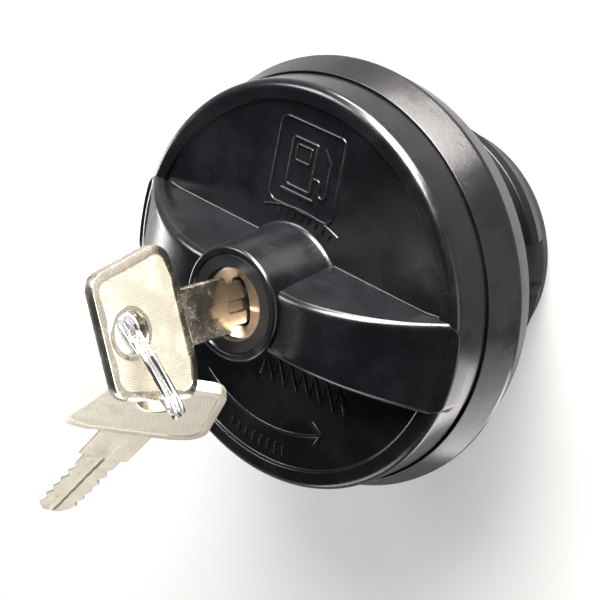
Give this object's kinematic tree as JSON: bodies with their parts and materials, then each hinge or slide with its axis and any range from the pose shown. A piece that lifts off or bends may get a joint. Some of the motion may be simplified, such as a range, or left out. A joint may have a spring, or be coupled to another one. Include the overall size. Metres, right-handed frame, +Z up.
{
  "type": "locking filler cap",
  "caption": "Black plastic locking ratchet filler cap with a winged knob, bezel and lugged neck, with a key in its lock and a spare key on a split ring.",
  "frame": {"origin": "centre of the neck's flat lower end, on the cap's axis", "axes": "+Z up the cap's axis, out of the knob's face; +X along the handle's wings"},
  "size_m": [0.084, 0.099, 0.0999],
  "materials": {
    "black_plastic": "satin, fine mould grain",
    "back_plastic": "satin",
    "acetal": "smooth moulded acetal",
    "rubber": "matt nitrile rubber",
    "steel": "bright zinc-plated steel",
    "brass": "polished, slightly tarnished",
    "nickel_silver": "nickel silver, tumbled",
    "chrome": "bright plated"
  },
  "bodies": {
    "closure": {"filler_neck": "black_plastic", "bezel_ring": "black_plastic", "neck_gasket": "rubber", "ratchet_ring": "acetal", "valve_cover": "back_plastic", "valve_seat": "acetal", "valve_seal": "rubber", "pressure_spring": "steel"},
    "knob": {"knob_shell": "black_plastic", "knob_back_plate": "back_plastic", "clicker_ring": "acetal", "knob_retainer": "steel", "lock_bush": "back_plastic", "clutch_spring": "steel", "back_plate_screw_1": "steel", "back_plate_screw_2": "steel", "back_plate_screw_3": "steel", "back_plate_screw_4": "steel"},
    "plug": {"lock_plug": "brass", "lock_clip": "steel", "lock_cam": "steel", "wafer_1": "brass", "wafer_2": "brass", "wafer_3": "brass", "wafer_4": "brass", "wafer_5": "brass"},
    "clutch": {"clutch_plate": "steel"},
    "key": {"key_in_lock": "nickel_silver"},
    "ring": {"split_ring": "chrome"},
    "spare": {"spare_key": "nickel_silver"},
    "pressure": {"pressure_valve": "acetal", "vacuum_spring": "steel"},
    "vacuum": {"vacuum_valve": "acetal"}
  },
  "joints": [
    {"name": "knob_turn", "type": "hinge", "parent": "closure", "child": "knob", "pos_m": [0, 0, 0.045], "axis": [0, 0, 1], "continuous": true},
    {"name": "lock_turn", "type": "hinge", "parent": "knob", "child": "plug", "pos_m": [0, 0, 0.055], "axis": [0, 0, 1], "range_deg": [-25.5, 64.5]},
    {"name": "clutch_drop", "type": "slide", "parent": "knob", "child": "clutch", "axis": [0, 0, -1], "range_m": [-0.00087, 0.0022], "deforming": ["clutch_spring"]},
    {"name": "key_withdraw", "type": "slide", "parent": "plug", "child": "key", "axis": [0, 0, 1], "range_m": [0, 0.024]},
    {"name": "ring_swing", "type": "hinge", "parent": "key", "child": "ring", "pos_m": [0, 0, 0.0936], "axis": [-0.9026, -0.4305, 0], "range_deg": [0, 120]},
    {"name": "spare_key_slide", "type": "hinge", "parent": "ring", "child": "spare", "pos_m": [0.00054, -0.00796, 0.08693], "axis": [-0.3429, -0.5509, 0.7609], "range_deg": [-40, 4]},
    {"name": "pressure_valve_lift", "type": "slide", "parent": "closure", "child": "pressure", "axis": [0, 0, 1], "range_m": [0, 0.0025], "stiffness_N_per_m": 120, "springref_m": -0.003, "deforming": ["pressure_spring"]},
    {"name": "vacuum_valve_drop", "type": "slide", "parent": "pressure", "child": "vacuum", "axis": [0, 0, -1], "range_m": [0, 0.0018], "stiffness_N_per_m": 40, "springref_m": -0.003, "deforming": ["vacuum_spring"]}
  ],
  "couplings": [
    {"joint": "clutch_drop", "follows": "lock_turn", "m_per_rad": 0.00195}
  ]
}
